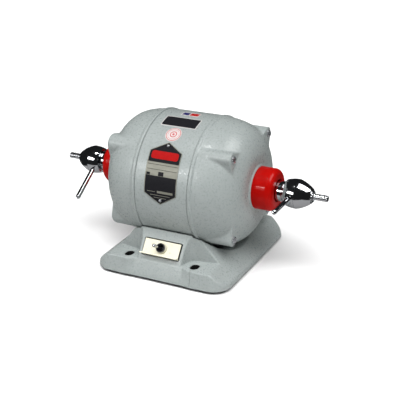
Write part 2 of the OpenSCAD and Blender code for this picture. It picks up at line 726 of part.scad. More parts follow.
// Release ring: a swelling collar with a cross hole for the lever
module lever_ring(drop) color(chrome_grey) difference() {
    along_spindle() rotate_extrude() difference() {
        intersection() {
            translate(ring_arc_c) circle(ring_arc_r);
            translate([sleeve_r + 0.9, ring_x]) square([far, ring_end_x - ring_x]);
        }
        translate([0, ring_x + 1.15]) square([ring_bore_r, far]);
        translate([0, ring_end_x - 1.35]) square([ring_bore_r + 1.25, far]);
    }
    toward_lever(drop) translate([0, 0, ring_bore_r + 0.3]) cylinder(h = far, r = rod_r + 0.02);
}

// Turns +Z so that it points from the spindle axis along a lever
module toward_lever(drop) translate([rod_x, 0, axis_h]) rotate([drop, 0, 0]) rotate([90, 0, 0])
    children();

module lever_rod(drop) color(chrome_grey) toward_lever(drop) {
    translate([0, 0, ring_bore_r + 0.4]) cylinder(h = lever_reach - rod_r - ring_bore_r - 0.4, r = rod_r);
    translate([0, 0, lever_reach - rod_r]) sphere(rod_r);
}

module chuck_body_left() on_side(-1) chuck_body();
module chuck_body_right() on_side(1) chuck_body();
module chuck_collet_left() on_side(-1) chuck_collet();
module chuck_collet_right() on_side(1) chuck_collet();
module chuck_nose_left() on_side(-1) chuck_nose();
module chuck_nose_right() on_side(1) chuck_nose();
module arbor_left() on_side(-1) arbor();
module arbor_right() on_side(1) arbor();
module release_bush_left() on_side(-1) release_bush();
module release_bush_right() on_side(1) release_bush();
module lever_ring_left() on_side(-1) lever_ring(left_lever_drop);
module lever_ring_right() on_side(1) lever_ring(right_lever_drop);
module lever_rod_left() on_side(-1) lever_rod(left_lever_drop);
module lever_rod_right() on_side(1) lever_rod(right_lever_drop);

// Spring washer, drawn pressed flat, that preloads the right-hand bearing
module preload_washer() color(steel_grey) turned([[bearing_ro - 5, bearing_x - 0.8],
    [bearing_ro - 0.3, bearing_x - 0.8], [bearing_ro - 0.3, bearing_x - 0.05],
    [bearing_ro - 5, bearing_x - 0.05]]);

// ---- Nameplate ----

// Turns to the middle of the plate, with +Z out of the frame and +Y up round it
module on_plate(angle) translate([0, 0, axis_h]) rotate([90 - angle, 0, 0]) children();

// Distance up the plate, from its middle, of an angle round the frame
function up_plate(angle) = frame_r * sin(angle - plate_mid);

// A sheet bent round the frame, with a pointed top and bottom
module nameplate() color([0.1, 0.1, 0.11]) difference() {
    intersection() {
        along_spindle(-nameplate_half - 2) difference() {
            cylinder(h = 2 * nameplate_half + 4, r = frame_r + nameplate_t);
            translate([0, 0, -1]) cylinder(h = far, r = frame_r + 0.02);
        }
        on_plate(plate_mid) linear_extrude(far) polygon([
            [0, up_plate(plate_angle_high)], [nameplate_half, up_plate(shoulder_high)],
            [nameplate_half, up_plate(shoulder_low)], [0, up_plate(plate_angle_low)],
            [-nameplate_half, up_plate(shoulder_low)], [-nameplate_half, up_plate(shoulder_high)]]);
    }
    for (a = rivet_angles) on_plate(a) cylinder(h = far, r = 1.05);
}

// Drive rivets with domed heads
module nameplate_rivets() color(alloy) for (a = rivet_angles) on_plate(a) {
    translate([0, 0, frame_r + 0.05]) cylinder(h = nameplate_t, r = 1);
    intersection() {
        translate([0, 0, frame_r + nameplate_t + 0.02]) cylinder(h = 2, r = 2);
        translate([0, 0, frame_r + nameplate_t - 0.9]) sphere(2.1);
    }
}

// ---- Assembly ----
base_casting();
bottom_cover();
cover_screws();
rubber_feet();
foot_screws();
cradle_bolts();
switch_plate();
switch_body();
switch_nut();
switch_lever();
cord_gland();
run_capacitor();
capacitor_clip();
motor_shell();
stator_core();
stator_winding();
end_bell_left();
end_bell_right();
tie_bolts();
bearing_cap_left();
bearing_cap_right();
shaft_seal_left();
shaft_seal_right();
preload_washer();
bearing_outer_left();
bearing_outer_right();
bearing_inner_left();
bearing_inner_right();
bearing_balls_left();
bearing_balls_right();
bearing_cage_left();
bearing_cage_right();
retaining_rings();
spindle_shaft();
rotor_core();
rotor_fan_left();
rotor_fan_right();
chuck_body_left();
chuck_body_right();
chuck_collet_left();
chuck_collet_right();
chuck_nose_left();
chuck_nose_right();
arbor_left();
arbor_right();
release_bush_left();
release_bush_right();
lever_ring_left();
lever_ring_right();
lever_rod_left();
lever_rod_right();
nameplate();
nameplate_rivets();
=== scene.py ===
import json
import math

import bmesh
import bpy
import numpy as np
from mathutils import Matrix, Vector


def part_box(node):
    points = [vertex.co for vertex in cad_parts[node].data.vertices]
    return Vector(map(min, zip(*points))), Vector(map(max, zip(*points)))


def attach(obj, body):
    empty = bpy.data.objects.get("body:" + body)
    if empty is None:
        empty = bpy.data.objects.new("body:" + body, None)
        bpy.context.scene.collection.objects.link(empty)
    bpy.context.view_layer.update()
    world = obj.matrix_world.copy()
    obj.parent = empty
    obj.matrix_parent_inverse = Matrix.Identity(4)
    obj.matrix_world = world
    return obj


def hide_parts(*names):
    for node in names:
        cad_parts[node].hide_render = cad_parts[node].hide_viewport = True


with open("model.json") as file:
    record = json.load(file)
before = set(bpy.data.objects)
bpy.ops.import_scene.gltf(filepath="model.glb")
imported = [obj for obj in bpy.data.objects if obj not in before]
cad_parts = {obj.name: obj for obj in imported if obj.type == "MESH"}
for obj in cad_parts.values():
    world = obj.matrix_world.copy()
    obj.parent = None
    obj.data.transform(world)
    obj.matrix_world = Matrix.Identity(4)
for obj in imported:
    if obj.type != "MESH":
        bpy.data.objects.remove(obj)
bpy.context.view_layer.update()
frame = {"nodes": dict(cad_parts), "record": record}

MM = 0.001

# ---- Sizes read from the frame, in millimetres ----


def span(node):
    """Lowest and highest corner of a node at rest, in millimetres."""
    low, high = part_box(node)
    return [v / MM for v in low], [v / MM for v in high]


SHELL_LOW, SHELL_HIGH = span("motor_shell")
AXIS_Z = (SHELL_LOW[2] + SHELL_HIGH[2]) / 2
FRAME_R = (SHELL_HIGH[2] - SHELL_LOW[2]) / 2
SEAM_X = SHELL_HIGH[0]
BELL_HIGH = span("end_bell_right")[1]
RIM_R = BELL_HIGH[2] - AXIS_Z
BELL_TOP_X = BELL_HIGH[0]
BASE_LOW, BASE_HIGH = span("base_casting")

# ---- Materials ----

COAT_ROUGHNESS = 0.08
# Nearly all of a noise texture's values lie between these two
NOISE_LOW, NOISE_HIGH = 0.3, 0.7
# A turned metal's rings: stretched round the spindle, with the strength of their relief
RING_STRETCH = (1, 0.02, 0.02)
RING_STRENGTH = 0.3
HANDLING_MARKS = 90
# Brushed sheets have their scratches along the spindle
BRUSH_STRETCH = (0.03, 1, 1)
# Enamel: lumps per metre of its mottle and speckle, and the share of the speckle in its colour
MOTTLE, SPECKLE, SPECKLE_SHARE = 14, 420, 0.5
# Enamel's reliefs: lumps per metre, detail, strength, and depth in metres
CAST_SKIN = (90, 2, 0.25, 0.0006)
ORANGE_PEEL = (320, 1, 0.7, 0.0005)
# Name, colour, roughness, rings per metre and their depth in metres
TURNED_METALS = (("chrome", (0.55, 0.56, 0.58), 0.07, 2500, 0.00002),
                 ("bright_steel", (0.56, 0.57, 0.59), 0.22, 3500, 0.00005),
                 ("lamination", (0.3, 0.31, 0.33), 0.42, 2000, 0.0001))
# Name, colour, roughness and how metallic it is: a zinc coat is a little dull
PLAIN_METALS = (("zinc_steel", (0.5, 0.51, 0.53), 0.2, 0.86),
                ("copper", (0.62, 0.27, 0.13), 0.38, 1.0),
                ("brass", (0.68, 0.5, 0.2), 0.32, 1.0),
                ("cast_alloy", (0.6, 0.61, 0.63), 0.4, 1.0))


def node_material(name, colour, roughness, metallic=0.0, coat=0.0, specular=0.5):
    """A Principled material with its constants set on the shader's own sockets."""
    material = bpy.data.materials.new(name)
    material.use_nodes = True
    shader = material.node_tree.nodes["Principled BSDF"]
    shader.inputs["Base Color"].default_value = (*colour, 1)
    shader.inputs["Roughness"].default_value = roughness
    shader.inputs["Metallic"].default_value = metallic
    shader.inputs["Coat Weight"].default_value = coat
    shader.inputs["Coat Roughness"].default_value = COAT_ROUGHNESS
    shader.inputs["Specular IOR Level"].default_value = specular
    return material


def noise(material, scale, detail, stretch=(1, 1, 1)):
    """Noise over the surface, in object space. Scale is in lumps per metre."""
    nodes, links = material.node_tree.nodes, material.node_tree.links
    place = nodes.new("ShaderNodeTexCoord")
    mapping = nodes.new("ShaderNodeMapping")
    mapping.inputs["Scale"].default_value = stretch
    texture = nodes.new("ShaderNodeTexNoise")
    texture.inputs["Scale"].default_value = scale
    texture.inputs["Detail"].default_value = detail
    links.new(place.outputs["Object"], mapping.inputs["Vector"])
    links.new(mapping.outputs["Vector"], texture.inputs["Vector"])
    return texture.outputs["Fac"]


def spread(material, value, low, high):
    """Spreads a noise's values over a range."""
    node = material.node_tree.nodes.new("ShaderNodeMapRange")
    node.inputs["From Min"].default_value = NOISE_LOW
    node.inputs["From Max"].default_value = NOISE_HIGH
    node.inputs["To Min"].default_value = low
    node.inputs["To Max"].default_value = high
    material.node_tree.links.new(value, node.inputs["Value"])
    return node.outputs["Result"]


def vary_colour(material, value, dark, light):
    """The base colour runs between two colours."""
    ramp = material.node_tree.nodes.new("ShaderNodeValToRGB")
    for stop, position, colour in zip(ramp.color_ramp.elements, (NOISE_LOW, NOISE_HIGH),
                                      (dark, light)):
        stop.position = position
        stop.color = (*colour, 1)
    shader = material.node_tree.nodes["Principled BSDF"]
    material.node_tree.links.new(value, ramp.inputs["Fac"])
    material.node_tree.links.new(ramp.outputs["Color"], shader.inputs["Base Color"])


def vary_roughness(material, value, low, high):
    """The roughness runs between two values."""
    shader = material.node_tree.nodes["Principled BSDF"]
    spread_value = spread(material, value, low, high)
    material.node_tree.links.new(spread_value, shader.inputs["Roughness"])


def bump(material, value, strength, depth, onto=None):
    """Relief with a depth in metres, added to the earlier relief that onto names."""
    shader = material.node_tree.nodes["Principled BSDF"]
    node = material.node_tree.nodes.new("ShaderNodeBump")
    node.inputs["Strength"].default_value = strength
    node.inputs["Distance"].default_value = depth
    material.node_tree.links.new(value, node.inputs["Height"])
    if onto:
        material.node_tree.links.new(onto, node.inputs["Normal"])
    for socket in ("Normal", "Coat Normal"):
        material.node_tree.links.new(node.outputs["Normal"], shader.inputs[socket])
    return node.outputs["Normal"]


def blend_values(material, a, b, share):
    """A mix of two 0 to 1 values."""
    node = material.node_tree.nodes.new("ShaderNodeMix")
    node.inputs[0].default_value = share
    material.node_tree.links.new(a, node.inputs[2])
    material.node_tree.links.new(b, node.inputs[3])
    return node.outputs[0]


def relief(material, kind, onto=None):
    """One of the enamel's reliefs."""
    scale, detail, strength, depth = kind
    return bump(material, noise(material, scale, detail), strength, depth, onto)


def enamel(name, dark, light):
    """Grey-green enamel over a cast skin: orange peel, a slight mottle, a speckle and a gloss."""
    material = node_material(name, light, 0.3, coat=0.05, specular=0.3)
    speckle = noise(material, SPECKLE, 2)
    mottle = blend_values(material, noise(material, MOTTLE, 3), speckle, SPECKLE_SHARE)
    vary_colour(material, mottle, dark, light)
    vary_roughness(material, speckle, 0.22, 0.44)
    relief(material, ORANGE_PEEL, onto=relief(material, CAST_SKIN))
    return material


def turned_metal(name, colour, roughness, lines, line_depth):
    """Metal with the fine rings that turning and polishing leave round the spindle."""
    material = node_material(name, colour, roughness, metallic=1.0)
    marks = noise(material, HANDLING_MARKS, 4)
    vary_roughness(material, marks, roughness * 0.75, roughness * 1.5)
    bump(material, noise(material, lines, 3, RING_STRETCH), RING_STRENGTH, line_depth)
    return material


def brushed_sheet(name, colour, roughness, low, high, marks, scratches, strength, depth):
    """Flat metal with fine straight scratches."""
    material = node_material(name, colour, roughness, metallic=0.3)
    vary_roughness(material, noise(material, marks, 3), low, high)
    lines, detail = scratches
    bump(material, noise(material, lines, detail, BRUSH_STRETCH), strength, depth)
    return material


def make_materials():
    """One material for each slot of the record, under the slot's name."""
    made = {"enamel": enamel("enamel", (0.226, 0.251, 0.246), (0.266, 0.292, 0.286))}
    made["red_enamel"] = red = node_material("red_enamel", (0.34, 0.004, 0.003), 0.4, coat=0.2,
                                             specular=0.02)
    vary_colour(red, noise(red, 40, 2), (0.29, 0.002, 0.001), (0.34, 0.004, 0.003))
    bump(red, noise(red, 300, 2), 0.1, 0.0002)
    for metal in TURNED_METALS:
        made[metal[0]] = turned_metal(*metal)
    for name, colour, roughness, metallic in PLAIN_METALS:
        made[name] = metal = node_material(name, colour, roughness, metallic=metallic)
        vary_roughness(metal, noise(metal, 260, 3), roughness * 0.8, roughness * 1.3)
        bump(metal, noise(metal, 900, 3), 0.25, 0.0001)
    made["nickel_plate"] = brushed_sheet("nickel_plate", (0.6, 0.58, 0.46), 0.3, 0.26, 0.38,
                                         200, (1500, 3), 0.2, 0.00005)
    made["nameplate_sheet"] = brushed_sheet("nameplate_sheet", (0.17, 0.17, 0.14), 0.5, 0.4, 0.55,
                                            300, (1400, 2), 0.15, 0.00004)
    made["rubber"] = rubber = node_material("rubber", (0.018, 0.018, 0.02), 0.62, specular=0.35)
    vary_roughness(rubber, noise(rubber, 300, 3), 0.55, 0.72)
    bump(rubber, noise(rubber, 900, 3), 0.35, 0.0001)
    made["black_plastic"] = plastic = node_material("black_plastic", (0.02, 0.02, 0.022), 0.4)
    bump(plastic, noise(plastic, 800, 2), 0.2, 0.0001)
    made["felt"] = felt = node_material("felt", (0.55, 0.52, 0.44), 0.95, specular=0.1)
    vary_colour(felt, noise(felt, 900, 4), (0.42, 0.4, 0.34), (0.6, 0.57, 0.5))
    bump(felt, noise(felt, 1800, 4), 0.6, 0.0003)
    return made


MATERIALS = make_materials()


def dress(piece, slot):
    """Gives a piece one material, the one made for a record's slot."""
    piece.data.materials.clear()
    piece.data.materials.append(MATERIALS[slot])


# The switch's nut is duller than the levers and chucks that share its slot
OTHER_LOOKS = {"switch_nut": "nickel_plate"}

for part in frame["record"]["subparts"]:
    cad_node = frame["nodes"][part["node"]]
    for socket in cad_node.material_slots:
        socket.material = MATERIALS[OTHER_LOOKS.get(part["node"], part["material_slot"])]

# ---- Castings, as fields of signed distance in millimetres ----


def soft_min(a, b, blend):
    """The lesser of two distances, with a fillet where they are alike."""
    near = np.maximum(blend - np.abs(a - b), 0) / blend
    return np.minimum(a, b) - near * near * blend / 4


def soft_max(a, b, blend):
    """The greater of two distances, with a rounded edge where they are alike."""
    return -soft_min(-a, -b, blend)


def grid_cells(field, low, high, cell):
    """Grid of inside and outside, and the cells that the surface crosses."""
    counts = [int(math.ceil((h - l) / cell)) + 1 for l, h in zip(low, high)]
    axes = [l + cell * np.arange(n) for l, n in zip(low, counts)]
    inside = field(*np.meshgrid(*axes, indexing="ij")) < 0
    total = sum(inside[i:counts[0] - 1 + i, j:counts[1] - 1 + j, k:counts[2] - 1 + k].astype(int)
                for i in (0, 1) for j in (0, 1) for k in (0, 1))
    return inside, (total > 0) & (total < 8)


def gradient(field, points, step):
    """Slope of a field at each point, measured over a step to either side."""
    parts = []
    for axis in range(3):
        shift = np.zeros(3)
        shift[axis] = step
        parts.append((field(*(points + shift).T) - field(*(points - shift).T)) / (2 * step))
    return np.stack(parts, 1)


# Moving a point to the surface: steps, share of each step taken, least squared slope that is
# trusted, and how far a point may go from its cell's middle, in cells
MOVES, MOVE_SHARE, LEAST_SLOPE, REACH = 6, 0.8, 0.05, 0.75
# Steps, in cells, that the slope is measured over while points move, and for the normals
SLOPE_STEP, NORMAL_STEP = 0.02, 0.2


def cast_mesh(name, field, low, high, cell):
    """Closed mesh of the surface where a field is zero: one point in each crossed cell, moved on
    to the surface, with the field's own normals."""
    inside, crossed = grid_cells(field, low, high, cell)
    index = np.full(crossed.shape, -1)
    index[crossed] = np.arange(crossed.sum())
    points = np.array(low) + cell * (np.argwhere(crossed) + 0.5)
    start = points.copy()
    for _ in range(MOVES):
        slope = gradient(field, points, cell * SLOPE_STEP)
        squared = np.maximum((slope ** 2).sum(1), LEAST_SLOPE)
        points -= MOVE_SHARE * slope * (field(*points.T) / squared)[:, None]
        points = np.clip(points, start - cell * REACH, start + cell * REACH)
    quads = []
    for axis in range(3):
        a, b = [i for i in range(3) if i != axis]
        first = np.take(inside, range(inside.shape[axis] - 1), axis)
        second = np.take(inside, range(1, inside.shape[axis]), axis)
        edges = np.argwhere(first != second)
        leaves = first[tuple(edges.T)]
        ring = []
        for da, db in ((0, 0), (-1, 0), (-1, -1), (0, -1)):
            around = edges.copy()
            around[:, a] += da
            around[:, b] += db
            ring.append(index[tuple(around.T)])
        ring = np.stack(ring, 1)
        turned = leaves != (axis == 1)
        quads.append(np.where(turned[:, None], ring, ring[:, ::-1]))
    mesh = bpy.data.meshes.new(name)
    mesh.from_pydata((points * MM).tolist(), [], np.concatenate(quads).tolist())
    mesh.polygons.foreach_set("use_smooth", [True] * len(mesh.polygons))
    slope = gradient(field, points, cell * NORMAL_STEP)
    slope /= np.maximum(np.linalg.norm(slope, axis=1), 1e-9)[:, None]
    mesh.normals_split_custom_set_from_vertices(slope.tolist())
    piece = bpy.data.objects.new(name, mesh)
    bpy.context.scene.collection.objects.link(piece)
    return piece


# The end bells: a long side arc runs smoothly into a tighter corner arc, and four lugs grow out of
# the dome. Both arcs are tangent in BELL_TURN, given as (radial, along the spindle).
SIDE_ARC = 100.0
CORNER_ARC = 41.0
BELL_TURN = (0.96, 0.28)
BELL_FACE_LIP = 1.8
BELL_SEAT = 4.0
HUB_END_X = BELL_TOP_X - BELL_SEAT
BELL_FACE_X = HUB_END_X - BELL_FACE_LIP
BELL_INSET = 0.5
ARC_GAP = SIDE_ARC - CORNER_ARC
CORNER_CENTRE = (BELL_FACE_X - CORNER_ARC,
                 FRAME_R - BELL_INSET - SIDE_ARC + ARC_GAP * BELL_TURN[0])
SIDE_CENTRE = (CORNER_CENTRE[0] - ARC_GAP * BELL_TURN[1],
               CORNER_CENTRE[1] - ARC_GAP * BELL_TURN[0])
LUG_FLANK = math.radians(28.3)
BOLT_RING_R = 74.2
# Ring radius, tip radius, end and edge softness of the faced lugs and of the blind ones
FACED_LUG = (BOLT_RING_R, 8.3, 84.4, 1.2)
BLIND_LUG = (68.2, 12.7, 87.0, 5.0)
LUG_CREASE = 2.0
THREAD_END_X = 81.0
HUB_RING_R = 28.3
CAP_SEAT_R = 23.8
BELL_WALL = 5.0
RIM_WIDTH = 5.0
BEARING_X = 77.0
BEARING_END_X = 89.0
BEARING_LIP = 1
BEARING_SEAT_R = 20.02
BEARING_HOUSING_R = 26.5
SEAL_X = 91.5
SEAL_SEAT_R = 16
SHAFT_WAY_R = 12
BOLT_HOLE_R = 2.6
BELL_CELL = 1.2
# How far edges are rounded, and creases filled, in millimetres of distance
RIM_EDGE, RIM_CREASE = 2.0, 1.0
HUB_EDGE, HUB_CREASE = 1.6, 2.0
SEAM_EDGE = 1.2
CAP_SEAT_EDGE = 0.6
BORE_EDGE = 0.5


def dome(x, r):
    """Distance from the bell's outer curve."""
    side = np.hypot(x - SIDE_CENTRE[0], r - SIDE_CENTRE[1]) - SIDE_ARC
    corner = np.hypot(x - CORNER_CENTRE[0], r - CORNER_CENTRE[1]) - CORNER_ARC
    past_join = (x - CORNER_CENTRE[0]) * BELL_TURN[0] > (r - CORNER_CENTRE[1]) * BELL_TURN[1]
    return np.where(past_join, np.where(r > CORNER_CENTRE[1], corner, x - BELL_FACE_X), side)


def from_lugs(y, z):
    """Place in the nearest lug's own directions: outwards from the spindle, and across."""
    return (np.abs(y) + np.abs(z)) * math.sqrt(0.5), np.abs(np.abs(y) - np.abs(z)) * math.sqrt(0.5)


def lug(y, z, ring_r, tip_r):
    """Distance from the outline of the nearest lug: a round tip on flanks that spread inwards."""
    out, v = from_lugs(y, z)
    u = out - ring_r
    flank = u * math.sin(LUG_FLANK) + v * math.cos(LUG_FLANK)
    on_tip = v * math.sin(LUG_FLANK) < u * math.cos(LUG_FLANK)
    return np.where(on_tip, np.hypot(u, v), flank) - tip_r


def ring_field(r, x, outer, start, end, blend):
    """Distance from a disc on the spindle, between two places along it."""
    return soft_max(soft_max(r - outer, start - x, blend), x - end, blend)


def bell_field(x, y, z, lugs, hole_end):
    """A right-hand end bell, with the spindle along X through the origin."""
    ring_r, tip_r, end_x, edge = lugs
    r = np.hypot(y, z)
    outer_dome, lug_side = dome(x, r), lug(y, z, ring_r, tip_r)
    body = soft_min(outer_dome, soft_max(lug_side, x - end_x, edge), LUG_CREASE)
    rim = ring_field(r, x, RIM_R, SEAM_X, SEAM_X + RIM_WIDTH, RIM_EDGE)
    hub = ring_field(r, x, HUB_RING_R, SEAM_X, HUB_END_X, HUB_EDGE)
    body = soft_min(soft_min(body, rim, RIM_CREASE), hub, HUB_CREASE)
    body = soft_max(body, SEAM_X - x, SEAM_EDGE)
    body = np.minimum(body, ring_field(r, x, CAP_SEAT_R, SEAM_X, BELL_TOP_X, CAP_SEAT_EDGE))
    housing = np.maximum(r - BEARING_HOUSING_R, BEARING_X - BEARING_LIP - x)
    inner = np.maximum(outer_dome + BELL_WALL, -np.minimum(housing, lug_side))
    bore = np.minimum(np.maximum(r - BEARING_SEAT_R, x - BEARING_END_X), r - SHAFT_WAY_R)
    bore = np.minimum(bore, np.maximum(r - SEAL_SEAT_R, SEAL_X - x))
    out, across = from_lugs(y, z)
    holes = np.maximum(np.hypot(out - BOLT_RING_R, across) - BOLT_HOLE_R, x - hole_end)
    return soft_max(body, -np.minimum(np.minimum(inner, bore), holes), BORE_EDGE)


def make_bell(side, lugs, hole_end):
    """One bell, mirrored for the left side, where side is -1."""
    def field(x, y, z):
        return bell_field(side * x, y, z, lugs, hole_end)

    near, far = SEAM_X - 2 * BELL_CELL, BELL_TOP_X + 2 * BELL_CELL
    reach = RIM_R + 2 * BELL_CELL
    name = "right" if side > 0 else "left"
    low = (near if side > 0 else -far, -reach, -reach)
    high = (far if side > 0 else -near, reach, reach)
    bell = cast_mesh(f"cast_bell_{name}", field, low, high, BELL_CELL)
    bell.data.transform(Matrix.Translation((0, 0, AXIS_Z * MM)))
    dress(bell, "enamel")
    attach(bell, "housing")
    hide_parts(f"end_bell_{name}")


make_bell(1, FACED_LUG, BELL_TOP_X)
make_bell(-1, BLIND_LUG, THREAD_END_X)

# The base: hollow flanks, four pads in drafted pockets, and a sloping panel front and back
FOOT_Z = BASE_LOW[2]
SADDLE_EDGE_Z = BASE_HIGH[2]
HALF_W, HALF_D = BASE_HIGH[0], BASE_HIGH[1]
PLAN_CORNER_R = 24.0
DRAFT = 0.16
PAD_Z = 26.0
FLANK_ARC = 150.0
FLANK_CENTRE = (HALF_W + 79.4, 136.9)
SLOT_X, SLOT_Y = 46.5, 84.0
SLOT_R, SLOT_LENGTH = 5.2, 14.4
PAD_R = 14.0
# The panel's ends and the middle of its opening, as (y, z) on the front
APRON_Y = HALF_D - 0.2
PANEL_FOOT = (-89.9, 30.2)
PANEL_TOP = (-67.4, 60.6)
PANEL_MIDDLE = (-82.5, 40.2)
PANEL_SLOPE = math.atan2(PANEL_TOP[1] - PANEL_FOOT[1], PANEL_TOP[0] - PANEL_FOOT[0])
POCKET_DRAFT = 0.14
BACK_WALL_TURN = math.radians(10.7)
SIDE_WALL_TURN = math.radians(-14)
BASE_WALL = 5.0
# The gland's passage runs in from the back, with a boss on both sides of the wall round it
GLAND_Z, GLAND_R, GLAND_BOSS_R = 17.0, 6.2, 11.0
GLAND_SEAT_R, GLAND_SEAT_DEPTH = 9.2, 5.2
GLAND_BOSS_Y = HALF_D - 10.2
GLAND_BOSS_DEPTH = 5
GLAND_WAY_Y = 80
# Posts under the top plate, with blind holes for the screws
SLOT_POST_R = SLOT_LENGTH / 2 + 4
FOOT_PLACE = (74.8, 84.0)
FOOT_POST_R, FOOT_HOLE_R = 5, 2
COVER_SCREW_PLACE = (58.0, 60.0)
COVER_POST_R, COVER_HOLE_R = 4.5, 1.5
SCREW_HOLE_TOP = 14
COVER_TOP = FOOT_Z + 2.2
COVER_INSET = 2.4
CRADLE_BOLT_X, CRADLE_BOLT_R = 20, 4.1
# Half sizes of the switch's opening, and how far it is cut to either side of the panel
SWITCH_OPENING = (26.3, 10.8)
SWITCH_CUT = 10
# The saddle: room under the bells, and a thin gap beside the shell above its foot
BELL_ROOM = 0.7
SADDLE_GAP = 1.5
SADDLE_GAP_FOOT_Z = SADDLE_EDGE_Z - 14
SADDLE_GAP_RISE = 4
# Faces this near a slot's wall, and this far under the pad, are in its shade
SLOT_WALL_REACH = 0.8
SLOT_RIM = 1.4
BASE_CELL = 1.25
# How far edges are rounded, and creases filled
BASE_EDGE, CAVITY_EDGE = 1.1, 0.3
# Some of the base's edges are rounder than the rest by these factors
PANEL_FACTOR, SIDE_FACTOR, FLANK_FACTOR = 3, 2, 2.2
BOSS_TOP_EDGE, BOSS_SIDE_EDGE, BOSS_CREASE = 2.5, 3.2, 3.0
GLAND_CREASE, GLAND_SEAT_EDGE = 1.5, 0.4
POCKET_EDGE, SLOT_EDGE, SADDLE_EDGE = 1.6, 1.6, 1.2
HOLLOW_EDGE, FOOT_EDGE = 0.8, 1.0


def wall_plane(y, z, low_point, high_point):
    """Distance in front of the sloping line between two (y, z) points on the front."""
    dy, dz = high_point[0] - low_point[0], high_point[1] - low_point[1]
    length = math.hypot(dy, dz)
    return ((low_point[0] - y) * dz + (z - low_point[1]) * dy) / length


def front_panel(depth, z, inset):
    """Apron below and switch panel above; depth is the distance to the front of the middle."""
    apron = wall_plane(-depth, z, (-APRON_Y, FOOT_Z), PANEL_FOOT)
    panel = wall_plane(-depth, z, PANEL_FOOT, PANEL_TOP)
    return apron + inset, panel + inset


def plan_distance(x, y, z, inset):
    """Distance from the drafted sides, with round corners in plan."""
    qx = np.abs(x) - (HALF_W - PLAN_CORNER_R)
    qy = np.abs(y) - (HALF_D - PLAN_CORNER_R)
    reach = np.hypot(np.maximum(qx, 0), np.maximum(qy, 0)) + np.minimum(np.maximum(qx, qy), 0)
    return (reach - PLAN_CORNER_R + inset + DRAFT * (z - FOOT_Z)) / math.hypot(1, DRAFT)


def pocket(x, y, z, grow):
    """Distance outside the pocket over the nearest pad."""
    u, v = np.abs(x) - SLOT_X, SLOT_Y - np.abs(y)
    rise = z - PAD_Z + grow
    reach = PAD_R + grow + POCKET_DRAFT * rise
    back = -u * math.sin(BACK_WALL_TURN) + v * math.cos(BACK_WALL_TURN)
    side = -u * math.cos(SIDE_WALL_TURN) - v * math.sin(SIDE_WALL_TURN)
    before_corner = u * math.cos(BACK_WALL_TURN) + v * math.sin(BACK_WALL_TURN)
    beside_corner = -u * math.sin(SIDE_WALL_TURN) + v * math.cos(SIDE_WALL_TURN)
    in_corner = (before_corner < 0) & (beside_corner > 0)
    walls = np.where(in_corner, np.hypot(u, v), np.maximum(back, side))
    return np.maximum(walls - reach, -rise)


def base_shape(x, y, z, inset, soft):
    """Outside of the base, or its inside wall where an inset is given."""
    depth = np.abs(y)
    apron, panel = front_panel(depth, z, inset)
    flank = FLANK_ARC - np.hypot(np.abs(x) - FLANK_CENTRE[0], z - FLANK_CENTRE[1]) + inset
    front = soft_max(apron, panel, PANEL_FACTOR * soft)
    between = soft_max(front, z - SADDLE_EDGE_Z + inset, soft)
    low_part = z - PAD_Z + inset
    rounded_low = soft_max(low_part, apron, SIDE_FACTOR * soft)
    low_part = np.where(np.abs(x) < SLOT_X, rounded_low, low_part)
    shape = soft_min(low_part, between, SIDE_FACTOR * soft)
    shape = soft_max(shape, flank, FLANK_FACTOR * soft)
    return soft_max(shape, plan_distance(x, y, z, inset), SIDE_FACTOR * soft)


def slots(x, y):
    """Distance from the outline of the nearest mounting slot."""
    u, v = np.abs(x) - SLOT_X, np.abs(y) - SLOT_Y
    return np.hypot(u, np.maximum(np.abs(v) - (SLOT_LENGTH / 2 - SLOT_R), 0)) - SLOT_R


def post(x, y, place, radius):
    """Distance from the nearest of four upright rods."""
    return np.hypot(np.abs(x) - place[0], np.abs(y) - place[1]) - radius


def base_bosses(x, y, z, shape):
    """The base with a drafted boss round each slot, and the gland's boss and its seat."""
    boss = post(x, y, (SLOT_X, SLOT_Y), PAD_R + DRAFT * (PAD_Z - z))
    boss = soft_max(boss, z - PAD_Z, BOSS_TOP_EDGE)
    boss = soft_max(boss, plan_distance(x, y, z, 0), BOSS_SIDE_EDGE)
    shape = soft_min(shape, boss, BOSS_CREASE)
    from_gland = np.hypot(x, z - GLAND_Z)
    gland_boss = np.maximum(from_gland - GLAND_BOSS_R, np.abs(y - GLAND_BOSS_Y) - GLAND_BOSS_DEPTH)
    gland_seat = np.maximum(from_gland - GLAND_SEAT_R, HALF_D - GLAND_SEAT_DEPTH - y)
    shape = soft_min(shape, gland_boss, GLAND_CREASE)
    return soft_max(shape, -gland_seat, GLAND_SEAT_EDGE)


def base_saddle(x, r, z):
    """Distance from the room for the motor: a thin gap stays open along the saddle's edges."""
    gap = SADDLE_GAP * np.clip((z - SADDLE_GAP_FOOT_Z) / SADDLE_GAP_RISE, 0, 1)
    under_shell = r - FRAME_R - gap
    return np.where(np.abs(x) < SEAM_X, under_shell, r - RIM_R - BELL_ROOM - 0.5 * gap)


